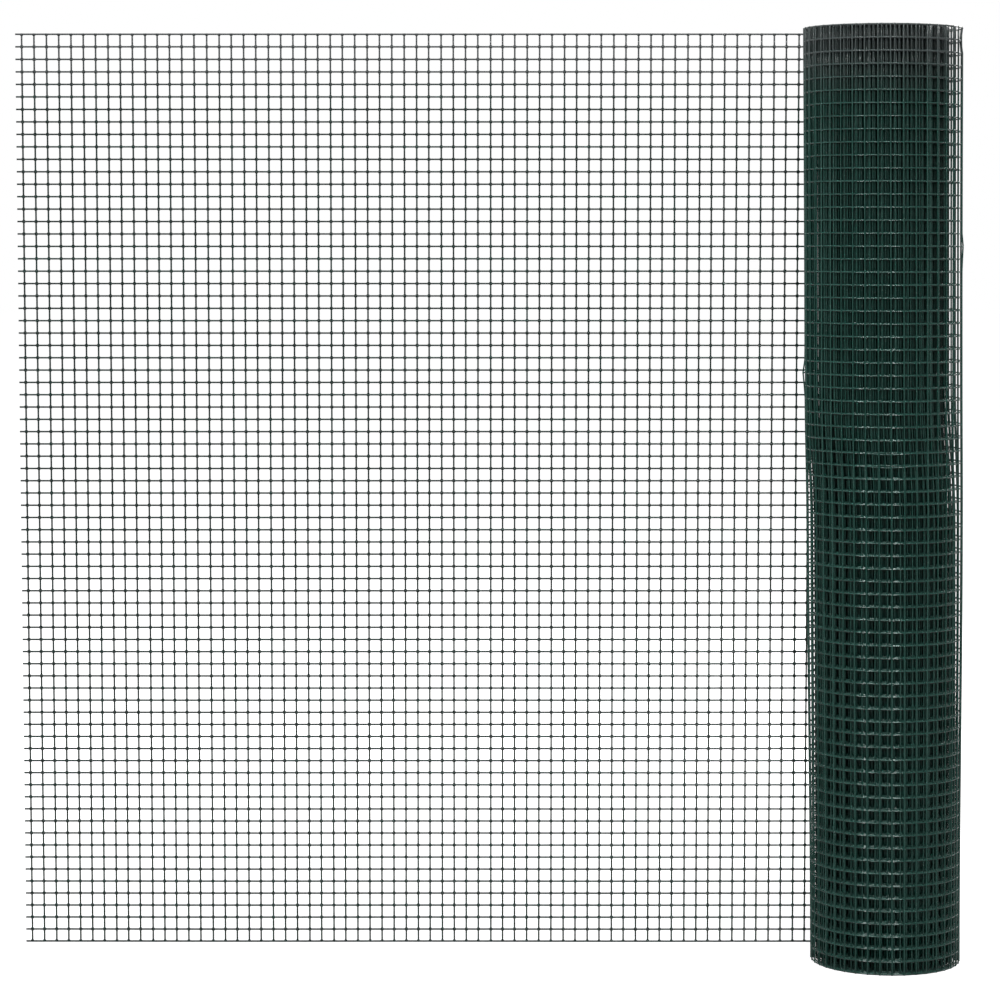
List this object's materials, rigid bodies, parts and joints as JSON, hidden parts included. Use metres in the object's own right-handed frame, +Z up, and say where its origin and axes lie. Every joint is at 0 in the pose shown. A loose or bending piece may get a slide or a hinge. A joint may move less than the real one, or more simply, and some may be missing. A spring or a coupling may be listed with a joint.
{
  "type": "roll of welded wire mesh fencing",
  "caption": "Upright roll of green plastic-coated welded square mesh fencing, wound with an open bore, with the free end unrolled flat behind it.",
  "frame": {"origin": "middle of the roll's foot, on the axis of its bore", "axes": "+Z up along the roll's axis; the unrolled run leaves the back of the roll, on its +Y side, and goes towards -X; +Y is the way the picture looks"},
  "size_m": [1.02, 0.1684, 1],
  "materials": {
    "coated_wire": "dark green plastic coat, half gloss"
  },
  "bodies": {
    "root": {"rolled_mesh": "coated_wire", "unrolled_mesh_01": "coated_wire", "unrolled_mesh_02": "coated_wire", "unrolled_mesh_03": "coated_wire", "unrolled_mesh_04": "coated_wire", "unrolled_mesh_05": "coated_wire", "unrolled_mesh_06": "coated_wire", "unrolled_mesh_07": "coated_wire", "unrolled_mesh_08": "coated_wire", "unrolled_mesh_09": "coated_wire", "unrolled_mesh_10": "coated_wire", "unrolled_mesh_11": "coated_wire", "unrolled_mesh_12": "coated_wire", "unrolled_mesh_13": "coated_wire", "unrolled_mesh_14": "coated_wire"}
  },
  "joints": []
}
